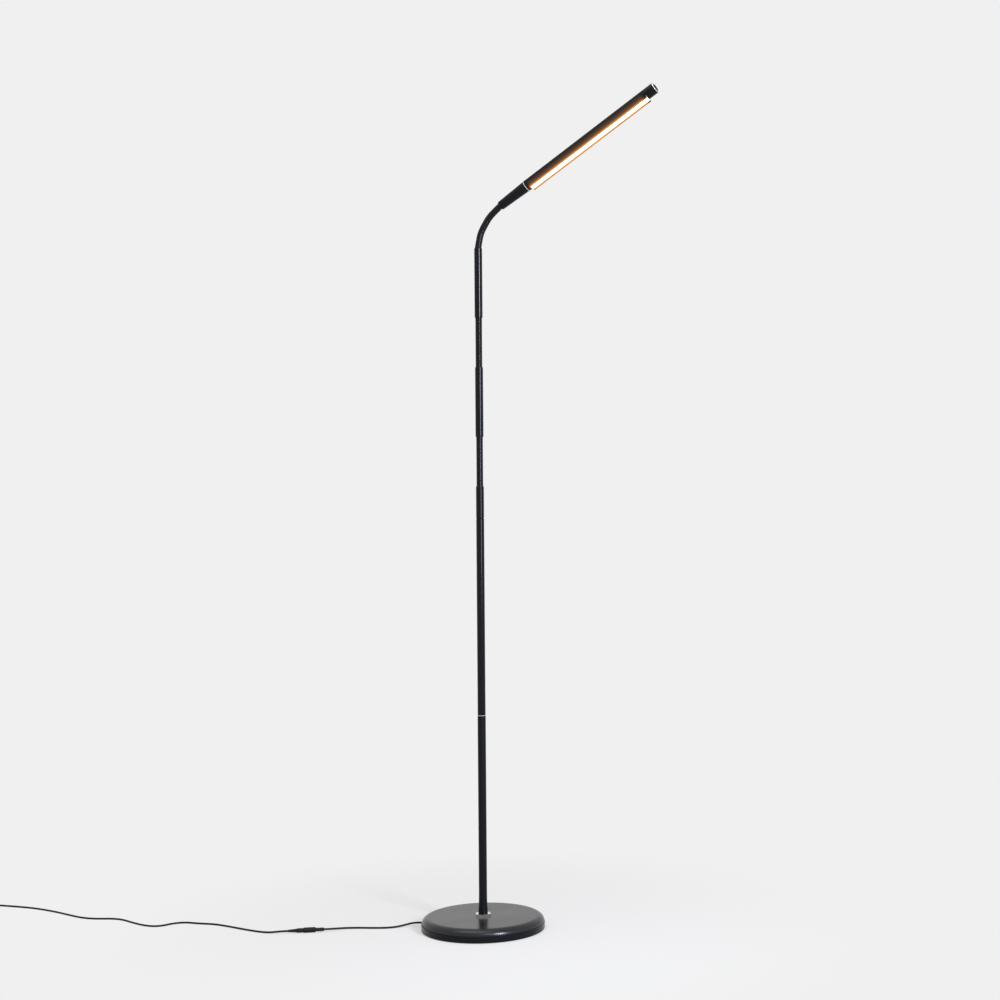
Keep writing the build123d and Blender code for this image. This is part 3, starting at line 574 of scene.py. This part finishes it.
def painted_glow_coat():
    """The coat of the shell, with the diodes' light beside the window painted on it as emission.

    The painted glow is amber at the lips and brown up the walls, and fades to black above them and at
    both ends.
    """
    spill_height = 0.006  # the painted light climbs so far above the shell's axis
    end_fade = 0.012  # and goes out over so much of the shell at either end
    half_length = shell_length / 2
    cloud_width = 1 / 40
    grain = 1 / 1100
    grain_depth = 5e-6
    material, tree, place = started("coated_aluminium_with_painted_glow")
    clouds = add(
        tree,
        "ShaderNodeTexNoise",
        values={"Scale": 1 / cloud_width, "Detail": 4.0},
        links={"Vector": place},
    )
    peel = add(
        tree,
        "ShaderNodeTexNoise",
        values={"Scale": 1 / grain, "Detail": 2.0},
        links={"Vector": place},
    )
    down = measured(tree, place, head_down)
    along = measured(tree, place, head_along)
    near_lip = add(
        tree,
        "ShaderNodeMapRange",
        values={"From Min": -spill_height, "From Max": lip_depth},
        links={"Value": down},
    )
    on_wall = add(
        tree,
        "ShaderNodeMapRange",
        {"interpolation_type": "SMOOTHSTEP"},
        {"From Min": 0.1, "From Max": 0.9},
        {"Value": near_lip.outputs[0]},
    )
    at_lip = add(
        tree,
        "ShaderNodeMapRange",
        {"interpolation_type": "SMOOTHSTEP"},
        {"From Min": 0.7, "From Max": 1.0},
        {"Value": near_lip.outputs[0]},
    )
    from_middle = add(
        tree,
        "ShaderNodeMath",
        {"operation": "SUBTRACT"},
        {1: half_length},
        {0: along},
    )
    either_way = add(
        tree,
        "ShaderNodeMath",
        {"operation": "ABSOLUTE"},
        links={0: from_middle.outputs[0]},
    )
    inside = add(
        tree,
        "ShaderNodeMapRange",
        {"interpolation_type": "SMOOTHSTEP"},
        {"From Min": half_length - end_fade, "From Max": half_length, "To Min": 1.0, "To Max": 0.0},
        {"Value": either_way.outputs[0]},
    )
    # painted light: where the diodes' spill is painted onto the coat as emission
    painted_spill_mask = add(
        tree,
        "ShaderNodeMath",
        {"operation": "MULTIPLY"},
        links={0: on_wall.outputs[0], 1: inside.outputs[0]},
    )
    amber = add(
        tree,
        "ShaderNodeMix",
        {"data_type": "RGBA"},
        {6: srgb("#6B4629"), 7: srgb("#D78F48")},
        {0: at_lip.outputs[0]},
    )
    glow = add(
        tree,
        "ShaderNodeMix",
        {"data_type": "RGBA"},
        {6: srgb("#000000")},
        {0: painted_spill_mask.outputs[0], 7: amber.outputs[2]},
    )
    colour = add(
        tree,
        "ShaderNodeMix",
        {"data_type": "RGBA"},
        {6: srgb("#070708"), 7: srgb("#0D0D0F")},
        {0: clouds.outputs[0]},
    )
    bump = add(
        tree,
        "ShaderNodeBump",
        values={"Strength": 0.4, "Distance": grain_depth},
        links={"Height": peel.outputs[0]},
    )
    # the emission here is painted light on the coat, not a lamp
    shader = add(
        tree,
        "ShaderNodeBsdfPrincipled",
        values={"Roughness": 0.3, "Specular IOR Level": 0.08, "Emission Strength": 1.0},
        links={
            "Base Color": colour.outputs[2],
            "Emission Color": glow.outputs[2],
            "Normal": bump.outputs[0],
        },
    )
    finished(tree, shader)
    return material


# A coat is given by its two colours, its roughness, its grain's width and depth and its specular
# level, a metal by its colours, its roughness, its lines' width and their stretch, and a matt piece by
# its colours, its roughness and its grain's width and depth.
finishes = {
    # Satin powder coat on drawn steel tube and the tray: soft sheen, orange peel too fine to see.
    "coated_steel": coating("powder_coated_steel", "#07080A", "#0D0E11", 0.15, 0.0011, 4e-6, 0.16),
    # The gooseneck's black oxide under oil: a little glossier than the tubes, so that ribs glint.
    "neck_black": coating("oiled_black_oxide", "#050608", "#0B0C0F", 0.14, 0.0009, 3e-6, 0.18),
    # The same on the fittings inside its ends, where the oil has dried.
    "neck_fitting": coating(
        "oiled_black_oxide_fitting", "#050608", "#0B0C0F", 0.17, 0.0009, 3e-6, 0.14
    ),
    # Satin powder coat on the head's aluminium, a touch duller than on the steel.
    "coated_aluminium": coating("coated_aluminium", "#07080A", "#0E0F12", 0.26, 0.0008, 5e-6, 0.13),
    # Black anodising on the coupler at the pole's top: dull, and even in colour.
    "dark_coupler": coating("black_anodised_aluminium", "#07080A", "#0E0F12", 0.3, 0.0006, 3e-6, 0.13),
    # Bright nickel plate on the hexagon nut, with the flats' fine milling lines.
    "bright_nickel": bright_metal("nickel_plate", "#C6C5C1", "#EDECE9", 0.1, 0.0009, (1.0, 1.0, 6.0)),
    # Zinc plate on the hidden screws, stud, nut and washer: duller, with a faint bloom.
    "plated_steel": bright_metal("zinc_plate", "#8E9094", "#B4B6B8", 0.34, 0.0012, (1.0, 1.0, 3.0)),
    # Turned aluminium trim rings: lines run round them.
    "bright_ring": bright_metal("turned_aluminium", "#C9CACB", "#E6E6E6", 0.2, 0.0007, (1.0, 1.0, 5.0)),
    # Nickel plated brass blades of the adapter: the warm metal shows a little, under fine lines.
    "blade_metal": bright_metal(
        "nickel_plated_brass", "#B3AC9C", "#D2CCBE", 0.22, 0.0008, (4.0, 1.0, 1.0)
    ),
    # Sand cast iron, hidden in the base: coarse and dull.
    "cast_weight": matt_piece("sand_cast_iron", "#2E2D2C", "#4B4947", 0.8, 0.0016, 2e-4),
    # Closed cell foam under the base: small round cells.
    "soft_pad": matt_piece("foam_pad", "#161616", "#232323", 0.9, 0.0008, 1e-4),
    # Spark eroded moulding grain on the plastic pieces.
    "moulded_black": matt_piece("moulded_plastic", "#060607", "#0D0D0E", 0.42, 0.0006, 2e-5),
    # Extruded flexible jacket: smooth, with the softest sheen.
    "cord_jacket": matt_piece("flexible_jacket", "#050506", "#0B0B0D", 0.5, 0.0012, 1e-5),
    # Opal acrylic, extruded: milky and lit from behind.
    "opal_diffuser": opal_acrylic(),
    # White solder mask on the glass fibre board, and the diodes' yellow phosphor.
    "circuit_board": matt_piece("solder_mask", "#DCDCD6", "#EFEFEA", 0.45, 0.0011, 1e-5),
    "phosphor": matt_piece("diode_phosphor", "#E8C24A", "#F4DC7C", 0.5, 0.0005, 1e-5),
}

# Pieces whose finish differs from that of the others with the same slot.
own_finishes = {
    # The spun cover's thicker coat mirrors more of the pale surround at a low angle.
    "base_cover": coating("powder_coated_cover", "#0C0D10", "#131418", 0.24, 0.0016, 5e-6, 0.38),
    # The lower pole's coat is duller than the other tubes'.
    "lower_pole": coating("powder_coated_pole", "#07080A", "#0E0F12", 0.3, 0.0011, 4e-6, 0.13),
    # The button's moulded face, which fingers have worn matt.
    "push_button": coating("worn_matt_button", "#060607", "#0D0D0E", 0.5, 0.0006, 1e-5, 0.03),
    # The head's coated aluminium shell, with the diodes' spill painted on it as emission.
    "head_shell": painted_glow_coat(),
}


def dress(piece, finish):
    """Gives each material slot of a piece its finish, on the object, so that its mesh stays as it is."""
    if not piece.material_slots:
        piece.data.materials.append(None)
    for place in piece.material_slots:
        place.link = "OBJECT"
        place.material = finish


for part in frame["record"]["subparts"]:
    dress(nodes[part["node"]], own_finishes.get(part["node"], finishes[part["material_slot"]]))
for piece in (socket_lead, supply_lead, *wires):
    dress(piece, finishes["cord_jacket"])
for piece in necks:
    dress(piece, finishes["neck_black"])

# ---- studio: a pale floor, a pale surround and soft boxes ----
backdrop = srgb("#F0F0F0")
floor_reach = 30.0
clear_radius = 0.12  # so near the pole the floor takes the most shadow
fade_radius = 0.75  # and from here outwards it is plain backdrop
least_glow = 0.45  # the backdrop's share in the floor's colour next to the pole
surround_light = 0.45  # the surround's strength as a light; 1 is its strength as it looks
paint_grain = 1 / 60
cool_white = "#DCE6FF"
strip_place = (1.96, -2.517)  # where the tubes mirror it in the photographed stripe


def shown_rays(tree):
    """1 for a ray from the camera, a mirror or glass, and 0 for one that only brings light."""
    rays = add(tree, "ShaderNodeLightPath")
    seen = add(
        tree,
        "ShaderNodeMath",
        {"operation": "MAXIMUM"},
        links={0: rays.outputs["Is Camera Ray"], 1: rays.outputs["Is Glossy Ray"]},
    )
    shown = add(
        tree,
        "ShaderNodeMath",
        {"operation": "MAXIMUM"},
        links={0: seen.outputs[0], 1: rays.outputs["Is Transmission Ray"]},
    )
    return shown.outputs[0]


def studio_floor():
    """A level sheet. Round the lamp it takes its shadow, and further out it runs into the surround."""
    mesh = bpy.data.meshes.new("floor")
    sheet = [(x * floor_reach, y * floor_reach, 0) for x, y in ((-1, -1), (1, -1), (1, 1), (-1, 1))]
    mesh.from_pydata(sheet, [], [(0, 1, 2, 3)])
    floor = bpy.data.objects.new("floor", mesh)
    scene.collection.objects.link(floor)
    material, tree, place = started("painted_floor")
    away = add(tree, "ShaderNodeVectorMath", {"operation": "LENGTH"}, links={0: place})
    grain = add(tree, "ShaderNodeTexNoise", values={"Scale": 1 / paint_grain}, links={"Vector": place})
    fade = add(
        tree,
        "ShaderNodeMapRange",
        {"interpolation_type": "SMOOTHSTEP"},
        {"From Min": clear_radius, "From Max": fade_radius, "To Min": least_glow, "To Max": 1.0},
        {"Value": away.outputs["Value"]},
    )
    share = add(
        tree,
        "ShaderNodeMath",
        {"operation": "MULTIPLY"},
        links={0: fade.outputs[0], 1: shown_rays(tree)},
    )
    bump = add(
        tree,
        "ShaderNodeBump",
        values={"Strength": 0.05, "Distance": 1e-4},
        links={"Height": grain.outputs[0]},
    )
    paint = add(
        tree,
        "ShaderNodeBsdfPrincipled",
        values={"Base Color": srgb("#EFEBE4"), "Roughness": 0.8, "Specular IOR Level": 0.0},
        links={"Normal": bump.outputs[0]},
    )
    glow = add(tree, "ShaderNodeEmission", values={"Color": backdrop, "Strength": 1.0})
    mixed = add(
        tree,
        "ShaderNodeMixShader",
        links={0: share.outputs[0], 1: paint.outputs[0], 2: glow.outputs[0]},
    )
    finished(tree, mixed)
    mesh.materials.append(material)


def surround():
    """The world: the backdrop's colour where it is seen or mirrored, and a dimmer light elsewhere."""
    world = bpy.data.worlds.new("surround")
    world.use_nodes = True
    tree = world.node_tree
    tree.nodes.clear()
    light = add(tree, "ShaderNodeBackground", values={"Color": backdrop, "Strength": surround_light})
    shade = add(tree, "ShaderNodeBackground", values={"Color": backdrop, "Strength": 1.0})
    mixed = add(
        tree,
        "ShaderNodeMixShader",
        links={0: shown_rays(tree), 1: light.outputs[0], 2: shade.outputs[0]},
    )
    add(tree, "ShaderNodeOutputWorld", links={"Surface": mixed.outputs[0]})
    scene.world = world


def soft_box(name, place, aim, width, height, power, colour):
    """A rectangular lamp at a place, turned to face a point."""
    data = bpy.data.lights.new(name, "AREA")
    data.shape = "RECTANGLE"
    data.size = width
    data.size_y = height
    data.energy = power
    data.color = srgb(colour)[:3]
    box = bpy.data.objects.new(name, data)
    box.location = place
    box.rotation_euler = (Vector(aim) - Vector(place)).to_track_quat("-Z", "Y").to_euler()
    scene.collection.objects.link(box)


studio_floor()
surround()
soft_box("overhead", (-0.6, -0.8, 3.2), (0, 0, 0.6), 2.4, 2.4, 30.0, "#FFFFFF")
# Two strips, one above the other, give the tubes their cool stripe, which is dimmer lower down.
soft_box("tall_strip", (*strip_place, 1.6), (0, 0, 1.1), 0.6, 0.8, 110.0, cool_white)
soft_box("short_strip", (*strip_place, 0.84), (0, 0, 0.7), 0.5, 0.7, 34.0, cool_white)
# The high box gives the base's shoulder its wide highlight.
soft_box("high_box", (0.976, -3.15, 2.35), (0, 0, 0.1), 1.3, 0.35, 17.0, cool_white)

scene.view_settings.view_transform = "Standard"
